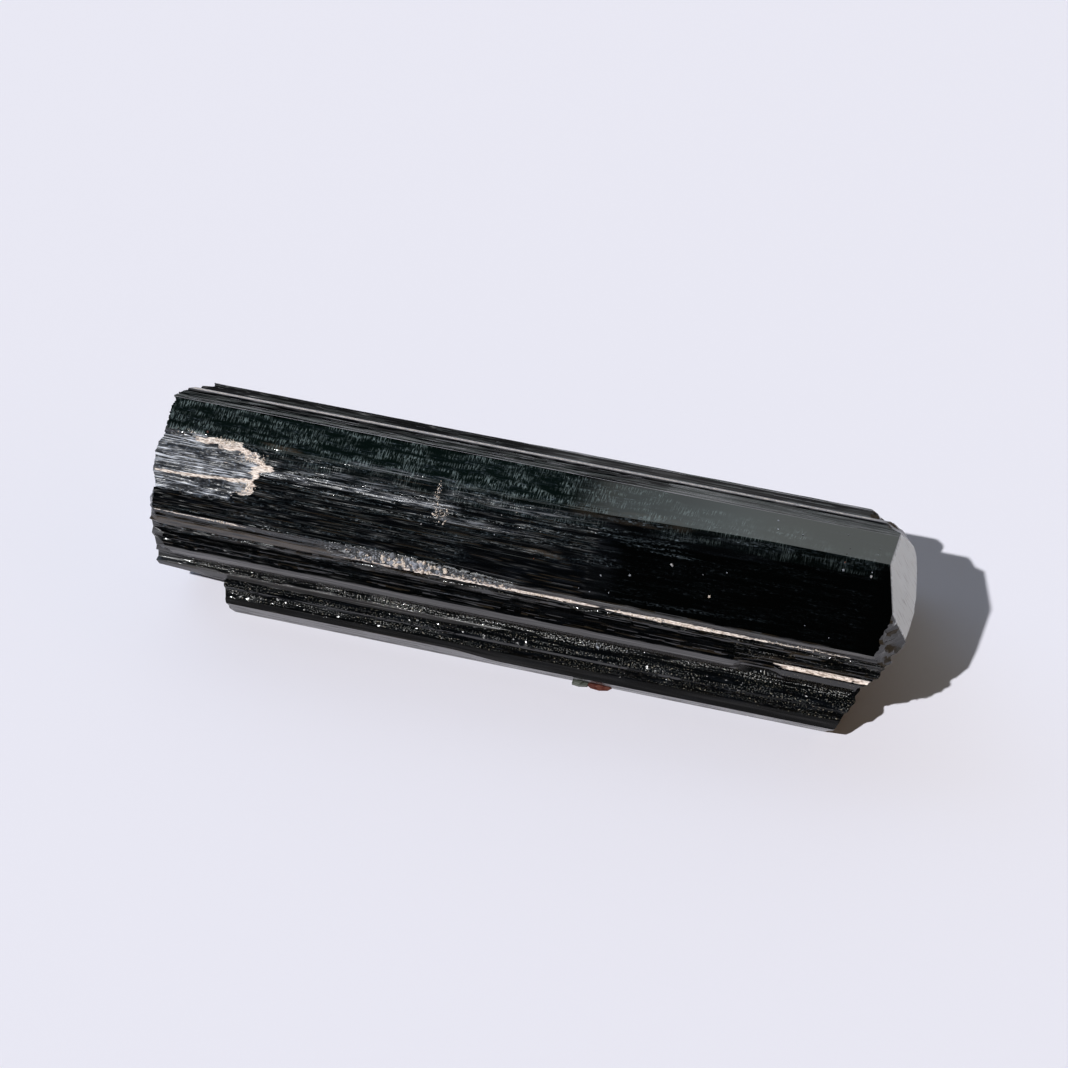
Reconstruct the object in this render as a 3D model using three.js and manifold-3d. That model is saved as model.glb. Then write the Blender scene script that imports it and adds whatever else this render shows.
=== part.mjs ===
// A black tourmaline crystal lying on its side: three parallel crystals that grew together
// into one striated bar. Millimetres, +Z up.
//
// The crystals are modelled with the left tip at x = 0, their growth axis along +X, the foot
// of the front crystal at y = 0 and the table at z = 0. The finished solid is then moved so
// that the origin is under the middle of it.
import * as THREE from 'three';
import { mergeVertices } from 'three/addons/utils/BufferGeometryUtils.js';
import Module from 'manifold-3d';

// Lengths along the growth axis
const MAIN_LENGTH = 62;
const END_FACE = new THREE.Vector3(60.9, 2.7, 10.2);
const FRONT_START = 7.4;
const FRONT_END = 59.4;
const REAR_START = 1.3;
const REAR_END = 56.7;
const REAR_SPLINTER = 1.2;

// Cross-sections: corners of the prism faces as [y, z, number of ribs, depth of a groove],
// with the ribs running along the face from that corner to the next one
const MAIN_CORNERS = [
  [4.2, 0, 0, 0],
  [10.4, 0, 4, 0.12],
  [12.9, 3.4, 5, 0.14],
  [13.7, 7.4, 5, 0.14],
  [12.6, 10.95, 5, 0.08],
  [9.65, 12.55, 0, 0],
  [6.8, 12.6, 9, 0.04],
  [0.8, 8.35, 4, 0.26],
  [0.1, 5.85, 2, 0.2],
  [0.5, 4.2, 2, 0.25],
  [1.2, 2.3, 2, 0.2],
];
const FRONT_CORNERS = [
  [0, 0, 2, 0.05],
  [-1, 1.5, 0, 0],
  [-1, 2.65, 4, 0.15],
  [1.1, 4.55, 0, 0],
  [3.6, 4.8, 0, 0],
  [5, 2.4, 0, 0],
  [4, 0, 0, 0],
];
const REAR_CORNERS = [
  [11.5, 0, 0, 0],
  [16.4, 0, 3, 0.12],
  [18.3, 2.4, 4, 0.14],
  [18.6, 5.4, 4, 0.14],
  [17, 7.95, 4, 0.12],
  [14.4, 8.35, 0, 0],
  [11.5, 8.3, 0, 0],
];

// Left end: each lower group of ribs of the main crystal stops further in
const LEFT_STEPS = [
  { top: 4.9, stop: 2.6 },
  { top: 3.6, stop: 4.4 },
  { top: 2.3, stop: 6.2 },
];

// A splintered hollow on the broad upper face at the left end
const HOLLOW_DEPTH = 0.45;
const HOLLOW_OUTLINE = [
  [-1, 0.2],
  [4.4, 0.3],
  [10.1, 2.1],
  [8.8, 2.6],
  [8.9, 4.3],
  [7.3, 5],
  [-1, 5.6],
];

// A flake of mica caught under the foot of the front crystal
const FLAKE = { x: 37.8, length: 3.1, reach: 0.6, height: 0.6 };

const CUTTER = 120;

const wasm = await Module();
wasm.setup();

function toSolid(geometry) {
  const bare = geometry.clone();
  bare.deleteAttribute('normal');
  bare.deleteAttribute('uv');
  const merged = mergeVertices(bare, 1e-5);
  return new wasm.Manifold(new wasm.Mesh({
    numProp: 3,
    vertProperties: new Float32Array(merged.attributes.position.array),
    triVerts: new Uint32Array(merged.index.array),
  }));
}

function toGeometry(solid) {
  const mesh = solid.getMesh();
  const geometry = new THREE.BufferGeometry();
  geometry.setAttribute('position', new THREE.BufferAttribute(mesh.vertProperties, 3));
  geometry.setIndex(new THREE.BufferAttribute(mesh.triVerts, 1));
  geometry.computeVertexNormals();
  return geometry;
}

// Corners with grooves cut between the ribs of each face
function ribbedOutline(corners) {
  const points = [];
  corners.forEach(([y, z, ribs, depth], i) => {
    const [nextY, nextZ] = corners[(i + 1) % corners.length];
    const from = new THREE.Vector2(y, z);
    const to = new THREE.Vector2(nextY, nextZ);
    const along = to.clone().sub(from).normalize();
    const inward = new THREE.Vector2(-along.y, along.x);
    points.push(from);
    for (let rib = 0; rib < ribs; rib += 1) {
      points.push(from.clone().lerp(to, (rib + 0.5) / ribs));
      if (rib < ribs - 1) {
        const groove = from.clone().lerp(to, (rib + 1) / ribs);
        points.push(groove.addScaledVector(inward, depth));
      }
    }
  });
  return points;
}

// An outline in the y-z plane drawn out along the growth axis from x = start to x = end
function prism(outline, start, end) {
  const geometry = new THREE.ExtrudeGeometry(new THREE.Shape(outline), {
    depth: end - start,
    steps: 1,
    bevelEnabled: false,
  });
  geometry.applyMatrix4(new THREE.Matrix4().makeBasis(
    new THREE.Vector3(0, 1, 0),
    new THREE.Vector3(0, 0, 1),
    new THREE.Vector3(1, 0, 0),
  ));
  geometry.translate(start, 0, 0);
  return toSolid(geometry);
}

// Everything on the outer side of a plane, to break a crystal off along it
function beyond(point, normal) {
  const geometry = new THREE.BoxGeometry(CUTTER, CUTTER, CUTTER);
  geometry.translate(0, 0, CUTTER / 2);
  const turn = new THREE.Quaternion().setFromUnitVectors(
    new THREE.Vector3(0, 0, 1),
    normal.clone().normalize(),
  );
  geometry.applyQuaternion(turn);
  geometry.translate(point.x, point.y, point.z);
  return toSolid(geometry);
}

// A block between two corners, each given as [x, y, z]
function block(low, high) {
  const [width, depth, height] = high.map((value, axis) => value - low[axis]);
  const geometry = new THREE.BoxGeometry(width, depth, height);
  geometry.translate(low[0] + width / 2, low[1] + depth / 2, low[2] + height / 2);
  return toSolid(geometry);
}

// The hollow's outline, measured along the crystal and down the broad face from its upper
// edge, sunk square to that face
function hollow() {
  const upper = new THREE.Vector3(0, MAIN_CORNERS[6][0], MAIN_CORNERS[6][1]);
  const lower = new THREE.Vector3(0, MAIN_CORNERS[7][0], MAIN_CORNERS[7][1]);
  const growth = new THREE.Vector3(1, 0, 0);
  const down = lower.sub(upper).normalize();
  const inward = new THREE.Vector3().crossVectors(growth, down);
  const outline = HOLLOW_OUTLINE.map(([along, across]) => new THREE.Vector2(along, across));
  const geometry = new THREE.ExtrudeGeometry(new THREE.Shape(outline), {
    depth: 2,
    bevelEnabled: false,
  });
  geometry.translate(0, 0, -2 + HOLLOW_DEPTH);
  geometry.applyMatrix4(new THREE.Matrix4().makeBasis(growth, down, inward));
  geometry.translate(upper.x, upper.y, upper.z);
  return toSolid(geometry);
}

function mainCrystal() {
  let solid = prism(ribbedOutline(MAIN_CORNERS), 0, MAIN_LENGTH);
  // the flat face at the right end leans back and turns a little away
  solid = solid.subtract(beyond(END_FACE, new THREE.Vector3(1, 0.154, 0.251)));
  // below it the end is broken away underneath, with a chip out of the front corner
  const brokenFoot = new THREE.Vector3(61.4, 5.7, 6.2);
  solid = solid.subtract(beyond(brokenFoot, new THREE.Vector3(1, -0.27, -0.75)));
  const chip = new THREE.Vector3(60.7, 3.4, 10.2);
  solid = solid.subtract(beyond(chip, new THREE.Vector3(0.93, -0.36, 0.03)));
  // the upper back corner of the right end is bevelled
  const backBevel = new THREE.Vector3(59.2, 12.4, 11);
  solid = solid.subtract(beyond(backBevel, new THREE.Vector3(1, 0.5, 0.3)));
  // the left end leans the other way
  const leftTip = new THREE.Vector3(0.3, 6, 12.5);
  solid = solid.subtract(beyond(leftTip, new THREE.Vector3(-1, 0, -0.28)));
  LEFT_STEPS.forEach(({ top, stop }) => {
    solid = solid.subtract(block([-1, -2, -1], [stop, 20, top]));
  });
  return solid.subtract(hollow());
}

function frontCrystal() {
  const solid = prism(ribbedOutline(FRONT_CORNERS), FRONT_START, FRONT_END);
  const leftEnd = new THREE.Vector3(FRONT_START, 0, 3.6);
  const rightEnd = new THREE.Vector3(FRONT_END, 0, 4.6);
  return solid
    .subtract(beyond(leftEnd, new THREE.Vector3(-1, -0.1, -0.35)))
    .subtract(beyond(rightEnd, new THREE.Vector3(1, 0, -0.6)));
}

function rearCrystal() {
  const solid = prism(ribbedOutline(REAR_CORNERS), REAR_START, REAR_END);
  const chip = new THREE.Vector3(REAR_END - 0.9, 16, 8);
  // a thin splinter of its upper edge runs on past the left end
  const splinter = [
    new THREE.Vector2(13.4, 7),
    new THREE.Vector2(16.9, 6.9),
    new THREE.Vector2(16.7, 7.6),
    new THREE.Vector2(13.4, 7.8),
  ];
  return solid
    .subtract(beyond(chip, new THREE.Vector3(1, 0, 0.7)))
    .add(prism(splinter, REAR_START - REAR_SPLINTER, REAR_START + 1));
}

// A wedge of mica, thickest where it goes in under the crystal
function flake() {
  const outline = [
    new THREE.Vector2(-FLAKE.reach, 0),
    new THREE.Vector2(1, 0),
    new THREE.Vector2(1, FLAKE.height),
    new THREE.Vector2(-FLAKE.reach * 0.4, FLAKE.height),
    new THREE.Vector2(-FLAKE.reach, FLAKE.height * 0.35),
  ];
  return prism(outline, FLAKE.x - FLAKE.length / 2, FLAKE.x + FLAKE.length / 2);
}

const solid = mainCrystal().add(frontCrystal()).add(rearCrystal()).add(flake());
const geometry = toGeometry(solid);
geometry.computeBoundingBox();

const crystal = new THREE.Mesh(geometry, new THREE.MeshStandardMaterial({
  color: 0x0c1110,
  roughness: 0.3,
  metalness: 0,
}));
crystal.name = 'tourmaline_crystal';
const middle = geometry.boundingBox.getCenter(new THREE.Vector3());
crystal.position.set(-middle.x, -middle.y, -geometry.boundingBox.min.z);

const group = new THREE.Group();
group.add(crystal);

export default group;
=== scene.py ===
"""A black tourmaline crystal on a pale table: three striated prisms grown side by side, a crust
of pale minerals along one groove, a splintered hollow at the left end and a flake of mica
caught under the front edge. The script runs from top to bottom; lengths are in millimetres
until a mesh is made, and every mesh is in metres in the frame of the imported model."""

import math

import bmesh
import bpy
import numpy as np
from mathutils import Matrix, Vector
from mathutils.geometry import delaunay_2d_cdt


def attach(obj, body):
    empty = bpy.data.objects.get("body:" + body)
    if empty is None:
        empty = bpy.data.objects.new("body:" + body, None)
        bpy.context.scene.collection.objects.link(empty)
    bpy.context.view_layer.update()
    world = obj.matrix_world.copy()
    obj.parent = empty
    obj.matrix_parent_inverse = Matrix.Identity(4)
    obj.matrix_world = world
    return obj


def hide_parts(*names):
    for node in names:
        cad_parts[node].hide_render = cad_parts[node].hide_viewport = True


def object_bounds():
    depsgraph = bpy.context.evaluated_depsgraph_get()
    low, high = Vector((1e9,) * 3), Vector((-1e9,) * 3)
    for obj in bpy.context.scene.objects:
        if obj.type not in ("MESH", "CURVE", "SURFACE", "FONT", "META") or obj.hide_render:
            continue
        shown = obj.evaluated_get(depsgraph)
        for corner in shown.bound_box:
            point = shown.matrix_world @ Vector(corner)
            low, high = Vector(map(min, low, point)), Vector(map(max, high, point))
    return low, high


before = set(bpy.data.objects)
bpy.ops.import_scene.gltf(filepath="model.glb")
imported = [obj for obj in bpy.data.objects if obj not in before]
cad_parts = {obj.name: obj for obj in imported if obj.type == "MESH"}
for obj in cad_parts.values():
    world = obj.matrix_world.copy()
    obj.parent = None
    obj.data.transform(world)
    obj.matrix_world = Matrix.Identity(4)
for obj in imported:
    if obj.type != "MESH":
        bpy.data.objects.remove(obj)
packed_low, packed_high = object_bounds()

MM = 0.001
# The crystals' own x = 0 is at the left tip and their y = 0 at the foot of the front prism
LEFT_TIP = packed_low.x - 0.1 * MM
FRONT_FOOT = packed_low.y + 1.0 * MM


# ---------------------------------------------------------------------------
# Camera
# It stands in front of the crystal and a little to the right, and looks halfway down.

CAMERA_HEIGHT = math.radians(45)
CAMERA_TURN = math.radians(15.6)
CAMERA_DISTANCE = 340 * MM
CAMERA_AIM = Vector((0.09, -0.73, 7.07)) * MM
CAMERA_LENS = 144.6
CAMERA_SENSOR = 36


def add_object(name, data):
    """A new object in the scene, at the origin."""
    made = bpy.data.objects.new(name, data)
    bpy.context.scene.collection.objects.link(made)
    return made


towards_camera = Vector((
    math.cos(CAMERA_HEIGHT) * math.sin(CAMERA_TURN),
    -math.cos(CAMERA_HEIGHT) * math.cos(CAMERA_TURN),
    math.sin(CAMERA_HEIGHT),
))
camera_data = bpy.data.cameras.new("camera")
camera_data.lens = CAMERA_LENS
camera_data.sensor_width = CAMERA_SENSOR
camera_data.clip_start = 0.01
camera_data.clip_end = 20
camera = add_object("camera", camera_data)
camera.location = CAMERA_AIM + towards_camera * CAMERA_DISTANCE
camera.rotation_mode = "QUATERNION"
camera.rotation_quaternion = (-towards_camera).to_track_quat("-Z", "Y")
bpy.context.scene.camera = camera


# ---------------------------------------------------------------------------
# Table and light
# A plain pale table top, lit by a sun lamp from the front left. The polished faces mirror a dim
# warm room with a dark ceiling, a cool window behind the crystal and blue sky beside it.

TABLE_COLOUR = (0.85, 0.84, 0.925, 1)
TABLE_ROUGHNESS = 0.55
TABLE_SPECULAR = 0.3
TABLE_SIZE = 3.0
SUN_FROM = Vector((-0.403, -0.554, 0.728))
SUN_STRENGTH = 3.46
SUN_SOFTNESS = math.radians(1.4)
ROOM_COLOUR = (0.34, 0.25, 0.16, 1)
CEILING_COLOUR = (0.003, 0.003, 0.003, 1)
CEILING_MIDDLE = Vector((-0.10, -0.30, 0.95))
CEILING_EDGE = math.radians(63)
CEILING_CORE = math.radians(54)
WINDOW_COLOUR = (0.65, 0.73, 0.74, 1)
WINDOW_MIDDLE = Vector((-0.19, 0.88, 0.42))
WINDOW_EDGE = math.radians(34)
WINDOW_CORE = math.radians(11)
SKY_COLOUR = (0.82, 1.10, 1.52, 1)
SKY_MIDDLE = Vector((-0.72, 0.62, 0.30))
SKY_EDGE = math.radians(38)
SKY_CORE = math.radians(22)
# What shows beyond the edge of the table
SEEN_COLOUR = (0.80, 0.80, 0.84, 1)


def add_node(tree, kind, values=None, **settings):
    """A node with its settings, and its inputs set or linked by name or number."""
    made = tree.nodes.new(kind)
    for name, value in settings.items():
        setattr(made, name, value)
    for key, value in (values or {}).items():
        socket = made.inputs[key]
        if isinstance(value, bpy.types.NodeSocket):
            tree.links.new(value, socket)
        else:
            socket.default_value = value
    return made


def maths(tree, operation, *values):
    """One step of arithmetic on numbers or sockets."""
    return add_node(tree, "ShaderNodeMath", dict(enumerate(values)), operation=operation).outputs[0]


def times(tree, *values):
    """The product of several numbers or sockets."""
    product = values[0]
    for value in values[1:]:
        product = maths(tree, "MULTIPLY", product, value)
    return product


def blend_colour(tree, factor, first, second):
    """The first colour where the factor is 0, and the second where it is 1."""
    mix = add_node(tree, "ShaderNodeMix", {0: factor, 6: first, 7: second}, data_type="RGBA")
    return mix.outputs[2]


def blend_value(tree, factor, first, second):
    """The first number where the factor is 0, and the second where it is 1."""
    return add_node(tree, "ShaderNodeMix", {0: factor, 2: first, 3: second}).outputs[0]


def ramp(tree, value, low, high):
    """0 where the value is under low, 1 where it is over high, and smooth between."""
    given = {"Value": value, "From Min": low, "From Max": high}
    return add_node(tree, "ShaderNodeMapRange", given, interpolation_type="SMOOTHSTEP").outputs["Result"]


def new_material(name):
    """A new material, its nodes and its Principled shader."""
    material = bpy.data.materials.new(name)
    material.use_nodes = True
    tree = material.node_tree
    return material, tree, tree.nodes["Principled BSDF"]


bpy.ops.mesh.primitive_plane_add(size=TABLE_SIZE)
table = bpy.context.object
table.name = "table"
table_material, _, table_shader = new_material("pale table")
table_shader.inputs["Base Color"].default_value = TABLE_COLOUR
table_shader.inputs["Roughness"].default_value = TABLE_ROUGHNESS
table_shader.inputs["Specular IOR Level"].default_value = TABLE_SPECULAR
table.data.materials.append(table_material)

sun_data = bpy.data.lights.new("sun", "SUN")
sun_data.energy = SUN_STRENGTH
sun_data.angle = SUN_SOFTNESS
sun = add_object("sun", sun_data)
sun.rotation_mode = "QUATERNION"
sun.rotation_quaternion = SUN_FROM.to_track_quat("Z", "Y")

room = bpy.data.worlds.new("room")
room.use_nodes = True
bpy.context.scene.world = room
room_tree = room.node_tree
sight = add_node(room_tree, "ShaderNodeTexCoord").outputs["Generated"]


def round_patch(middle, edge, core):
    """1 in the directions near the middle, fading to 0 between the core and edge angles."""
    pair = {0: sight, 1: middle.normalized()}
    nearness = add_node(room_tree, "ShaderNodeVectorMath", pair, operation="DOT_PRODUCT")
    return ramp(room_tree, nearness.outputs["Value"], math.cos(edge), math.cos(core))


ceiling = round_patch(CEILING_MIDDLE, CEILING_EDGE, CEILING_CORE)
window = round_patch(WINDOW_MIDDLE, WINDOW_EDGE, WINDOW_CORE)
sky = round_patch(SKY_MIDDLE, SKY_EDGE, SKY_CORE)
glow = blend_colour(room_tree, ceiling, ROOM_COLOUR, CEILING_COLOUR)
glow = blend_colour(room_tree, sky, glow, SKY_COLOUR)
glow = blend_colour(room_tree, window, glow, WINDOW_COLOUR)
seen = add_node(room_tree, "ShaderNodeLightPath").outputs["Is Camera Ray"]
glow = blend_colour(room_tree, seen, glow, SEEN_COLOUR)
room_tree.links.new(glow, room_tree.nodes["Background"].inputs["Color"])
bpy.context.scene.view_settings.view_transform = "Standard"


# ---------------------------------------------------------------------------
# Main prism
# The thick middle crystal, about 61 mm long. Its faces grew with grooves along them; the right
# end is a flat face with a broken foot and a chipped corner, and the left end is splintered.

# Distances between the points of a face
VISIBLE = 0.05
HALF_HIDDEN = 0.1
HIDDEN = 0.16
# Corners of the cross-section, from the underside up the front and over the top, as
# (y, z at the left, y, z at the right, distance between points towards the next corner)
MAIN_SECTION = [
    (4.2, 0, 4.2, 0, HIDDEN), (2.2, 1.3, 2.2, 1.3, HIDDEN), (1.1, 2.2, 1.1, 2.2, VISIBLE),
    (0.62, 2.93, 0.8, 2.75, VISIBLE), (0.62, 3.47, 0.72, 3.35, VISIBLE), (1.14, 3.74, 1.12, 3.72, VISIBLE),
    (0.82, 4.5, 0.8, 4.52, VISIBLE), (0.84, 5.09, 0.84, 5.09, VISIBLE), (1.07, 5.21, 1.07, 5.21, VISIBLE),
    (1.03, 5.56, 1.03, 5.56, VISIBLE), (1.14, 5.62, 1.14, 5.62, VISIBLE), (1.08, 5.94, 1.06, 5.96, VISIBLE),
    (1.22, 6.02, 1.18, 6.04, VISIBLE), (1.16, 6.35, 1.12, 6.39, VISIBLE), (1.36, 6.52, 1.25, 6.63, VISIBLE),
    (1.24, 7.14, 1.2, 7.3, VISIBLE), (1.2, 7.83, 1.24, 7.76, VISIBLE), (1.36, 8.25, 0.93, 8.12, VISIBLE),
    (1.22, 8.8, 0.96, 8.47, VISIBLE), (6.7, 12.02, 6.95, 12.6, VISIBLE),
    (9.99, 12.69, 11.81, 10.83, VISIBLE), (12.8, 10.9, 13.48, 10.22, VISIBLE),
    (12.85, 10.5, 13.53, 9.82, VISIBLE), (13.3, 10.62, 13.95, 9.97, VISIBLE),
    (13.95, 10.2, 14.45, 9.7, VISIBLE), (14.3, 9.6, 14.75, 9.25, HIDDEN), (14.9, 7.6, 14.9, 7.6, HIDDEN),
    (14.6, 4.4, 14.6, 4.4, HIDDEN), (13.4, 2, 13.4, 2, HIDDEN), (10.6, 0, 10.6, 0, HIDDEN),
]
BROAD_FACE_FOOT = 18
# Where the prism starts, by distance round the section from the foot of the broad face
MAIN_LEFT_RIM = [
    (-11.5, 7.6), (-7.9, 6.9), (-7.3, 6.4), (-6.6, 5.6), (-6.3, 5.2), (-5.65, 4.6), (-5.2, 4.2),
    (-4.9, 3.1), (-4.5, 2.75), (-4.1, 2.3), (-3.75, 2.15), (-3.5, 2.3), (-3.1, 2.05), (-2.7, 2.2),
    (-2.3, 1.85), (-1.9, 1.95), (-1.4, 1.7), (-1.1, 1.85), (-0.9, 1.6), (-0.45, 1.45), (-0.2, 1.6),
    (0, 1.4), (1.2, 1.2), (2.2, 1), (3, 0.6), (4.2, 0.45), (5.4, 0.4), (6.2, 0.7), (6.9, 0.75), (9.4, 0.6),
    (10.2, 0.3), (13.1, 0.4), (14.2, 0.6), (15.5, 1.2), (18, 1.6), (24, 3), (34, 5),
]
# Planes that end the prism on the right, as x at y = z = 0 and how it changes with y and z
END_FACE = (65.37, 0.0, -0.456)
# Behind this y the flat end leans back further, by this much for each millimetre
END_BEND_FROM = 7.0
END_BEND = 0.21
BROKEN_FOOT = (55.21, 0.27, 0.75)
FRONT_CHIP = (63.13, 0.60, -0.462)
# Inside this outline, as (y, z), the end is flat; outside it the end is broken away
END_OUTLINE = [
    (-3, 14), (12.6, 14), (12.6, 10.4), (12.85, 9.86), (13.22, 9.42), (13.51, 8.91), (13.98, 7.95),
    (13.79, 7.59), (13.44, 7.38), (12.21, 7.28), (10.63, 7.33), (8.98, 7.45), (7.46, 7.79), (6.4, 7.82),
    (5.2, 7.8), (4.5, 7.85), (3.8, 7.95), (3.8, -2), (-3, -2),
]
END_FACE_EDGES = list(zip(END_OUTLINE[1:16], END_OUTLINE[2:17])) + [((3.80, 7.95), (3.83, 10.5))]
MAIN_STATIONS = np.concatenate([
    np.arange(0, 11.5, 0.19),
    np.arange(11.5, 58, 0.62),
    np.arange(58, 62.01, 0.4),
])
# The left shape turns into the right one between these places, by distance round the section
MAIN_MORPH = [(-0.5, 18, 30), (5.0, 29, 52), (16.0, 29, 52)]
# The hollow's outline, as (x, distance up the broad face)
HOLLOW_OUTLINE = [
    (-1, 6.7), (4.3, 6.7), (4.6, 6.2), (7, 6.1), (8.5, 5.9), (9.3, 5.4), (10.2, 4.8), (9.1, 4.5),
    (8.9, 3.6), (8.85, 2.5), (7.6, 2.4), (7.5, 1.7), (3.8, 1.6), (-1, 1.5),
]
HOLLOW_DEPTH = 0.42
# The distance round that marks a point of an end
ON_A_CAP = 99.0
# Soft noise repeats after this many bumps
NOISE_CELLS = 64
# Where the ends lie on the two UV maps: shifted off the sides on the one in millimetres, and in
# a strip above them, in two squares side by side, on the one for the bake
CAP_SHIFT = 100
BAKE_SIDES = 0.85
BAKE_CAP_SIZE = 0.13
BAKE_CAP_BOTTOM = 0.865
BAKE_CAP_LEFT, BAKE_CAP_RIGHT = 0.02, 0.2


def smooth_noise(u, v, seed):
    """Soft noise between -1 and 1 over a plane, one bump for each unit of u and v."""
    heights = np.random.default_rng(seed).uniform(-1, 1, (NOISE_CELLS, NOISE_CELLS))
    u, v = np.broadcast_arrays(np.asarray(u, float), np.asarray(v, float))
    column, row = np.floor(u).astype(int), np.floor(v).astype(int)
    across, up = u - column, v - row
    across = across * across * (3 - 2 * across)
    up = up * up * (3 - 2 * up)
    left, right = column % NOISE_CELLS, (column + 1) % NOISE_CELLS
    low, high = row % NOISE_CELLS, (row + 1) % NOISE_CELLS
    below = heights[low, left] * (1 - across) + heights[low, right] * across
    above = heights[high, left] * (1 - across) + heights[high, right] * across
    return below * (1 - up) + above * up


def soft_step(value, low, high):
    """0 under low, 1 over high, and smooth between."""
    share = np.clip((value - low) / (high - low), 0, 1)
    return share * share * (3 - 2 * share)


def soft_band(value, low, high, edge):
    """1 between low and high, fading to 0 over the edge distance outside them."""
    return soft_step(value, low - edge, low) * (1 - soft_step(value, high, high + edge))


def depth_inside(x, y, outline):
    """Distance in from the outline's edge, negative outside it."""
    nearest = np.full(np.shape(x), 1e9)
    inside = np.zeros(np.shape(x), bool)
    for (ax, ay), (bx, by) in zip(outline, outline[1:] + outline[:1]):
        run, rise = bx - ax, by - ay
        share = np.clip(((x - ax) * run + (y - ay) * rise) / (run * run + rise * rise), 0, 1)
        nearest = np.minimum(nearest, np.hypot(x - ax - share * run, y - ay - share * rise))
        if rise:
            inside ^= ((ay > y) != (by > y)) & (x < ax + run * (y - ay) / rise)
    return np.where(inside, nearest, -nearest)


def plane_x(plane, y, z):
    """Where a plane lies along the crystal at one place of the section."""
    return plane[0] + plane[1] * y + plane[2] * z


def rim_x(rim, around):
    """Where a prism starts, by distance round its section."""
    distances, starts = np.array(rim).T
    return np.interp(around, distances, starts)


def in_place(points):
    """Points in the crystals' own millimetres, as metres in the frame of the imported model."""
    return points * MM + np.array([LEFT_TIP, FRONT_FOOT, 0])


def section_points(section, zero_corner):
    """Points round a section: left and right places, outward direction and distance round."""
    places, around = [], []
    total = 0.0
    start = 0.0
    for number, (*corner, spacing) in enumerate(section):
        *following, _ = section[(number + 1) % len(section)]
        here, there = np.array(corner), np.array(following)
        length = np.hypot(*(there - here)[:2])
        if number == zero_corner:
            start = total
        steps = max(1, round(length / spacing))
        for step in range(steps):
            share = step / steps
            places.append(here + (there - here) * share)
            around.append(total + length * share)
        total += length
    left, right = np.hsplit(np.array(places), 2)
    tangent = np.roll(left, -1, 0) - np.roll(left, 1, 0)
    tangent /= np.hypot(tangent[:, 0], tangent[:, 1])[:, None]
    outward = np.stack([-tangent[:, 1], tangent[:, 0]], 1)
    return left, right, outward, np.array(around) - start


def end_cap(rim, height, spacing, creases, seed):
    """Extra points and triangles that close one end; rim is the outline in y and z."""
    random = np.random.default_rng(seed)
    low, high = rim.min(0), rim.max(0)
    y, z = np.meshgrid(np.arange(low[0], high[0], spacing), np.arange(low[1], high[1], spacing))
    inner = np.stack([y.ravel(), z.ravel()], 1)
    inner += random.uniform(-0.3, 0.3, inner.shape) * spacing
    outline = [tuple(point) for point in rim]
    inner = inner[depth_inside(inner[:, 0], inner[:, 1], outline) > spacing * 0.6]
    crease_points, crease_edges = [], []
    for first, last in creases:
        count = max(2, round(math.dist(first, last) / (spacing * 0.6)))
        line = np.linspace(first, last, count)
        line = line[depth_inside(line[:, 0], line[:, 1], outline) > spacing * 0.3]
        at = len(rim) + len(inner) + len(crease_points)
        crease_edges += [(at + k, at + k + 1) for k in range(len(line) - 1)]
        crease_points += list(line)
    points = np.concatenate([rim, inner] + ([np.array(crease_points)] if crease_points else []))
    ring = list(range(len(rim)))
    found = delaunay_2d_cdt([Vector(p) for p in points], crease_edges, [ring], 1, 1e-5)
    places = np.array([tuple(p) for p in found[0]])
    origin = [source[0] if source else -1 for source in found[3]]
    order, extra = [], []
    for place, source in zip(places, origin):
        if 0 <= source < len(rim):
            order.append(source)
        else:
            order.append(len(rim) + len(extra))
            extra.append((float(height(*place)), *place))
    triangles = [tuple(order[k] for k in face) for face in found[2]]
    return np.array(extra), triangles


def crystal_mesh(name, section, zero_corner, stations, morph, left_x, right_x, relief, caps):
    """A closed prism along x, and its points in millimetres. left_x and right_x give where each
    line along it starts and ends, by distance round and by place in the section; relief gives
    how far each point stands proud. A cap is (height, point spacing, creases, seed)."""
    near, far, outward, around = section_points(section, zero_corner)
    starts = left_x(around)
    ends = right_x(far[:, 0], far[:, 1])
    share = ((stations - stations[0]) / (stations[-1] - stations[0]))[:, None]
    x = starts[None, :] + (ends - starts)[None, :] * share
    places, turn_from, turn_to = np.array(morph).T
    turn_from, turn_to = np.interp(around, places, turn_from), np.interp(around, places, turn_to)
    turned = soft_step(x, turn_from, turn_to)[..., None]
    yz = near[None] * (1 - turned) + far[None] * turned
    proud = relief(x, np.broadcast_to(around, x.shape))
    yz = yz + outward[None] * proud[..., None]
    rings, count = x.shape
    side = np.concatenate([x[..., None], yz], 2).reshape(-1, 3)
    ring, column = np.meshgrid(np.arange(rings - 1), np.arange(count), indexing="ij")
    following = (column + 1) % count
    quads = np.stack([
        ring * count + column,
        ring * count + following,
        (ring + 1) * count + following,
        (ring + 1) * count + column,
    ], -1).reshape(-1, 4)
    faces = quads.tolist()
    points = [side]
    total = len(side)
    cap_faces = []
    for last_ring, (height, spacing, creases, seed) in zip((0, rings - 1), caps):
        extra, triangles = end_cap(yz[last_ring], height, spacing, creases, seed)
        base = last_ring * count
        cap_faces.append(len(triangles))
        for triangle in triangles:
            faces.append([base + k if k < count else total + k - count for k in triangle])
        if len(extra):
            points.append(extra)
            total += len(extra)
    own = np.concatenate(points)
    mesh = bpy.data.meshes.new(name)
    mesh.from_pydata(in_place(own).tolist(), [], faces)
    mesh.validate()
    fixed = bmesh.new()
    fixed.from_mesh(mesh)
    bmesh.ops.recalc_face_normals(fixed, faces=fixed.faces)
    fixed.to_mesh(mesh)
    fixed.free()
    set_growth(mesh, own, count, rings, around, outward, len(quads), cap_faces)
    return add_object(name, mesh), own


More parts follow.
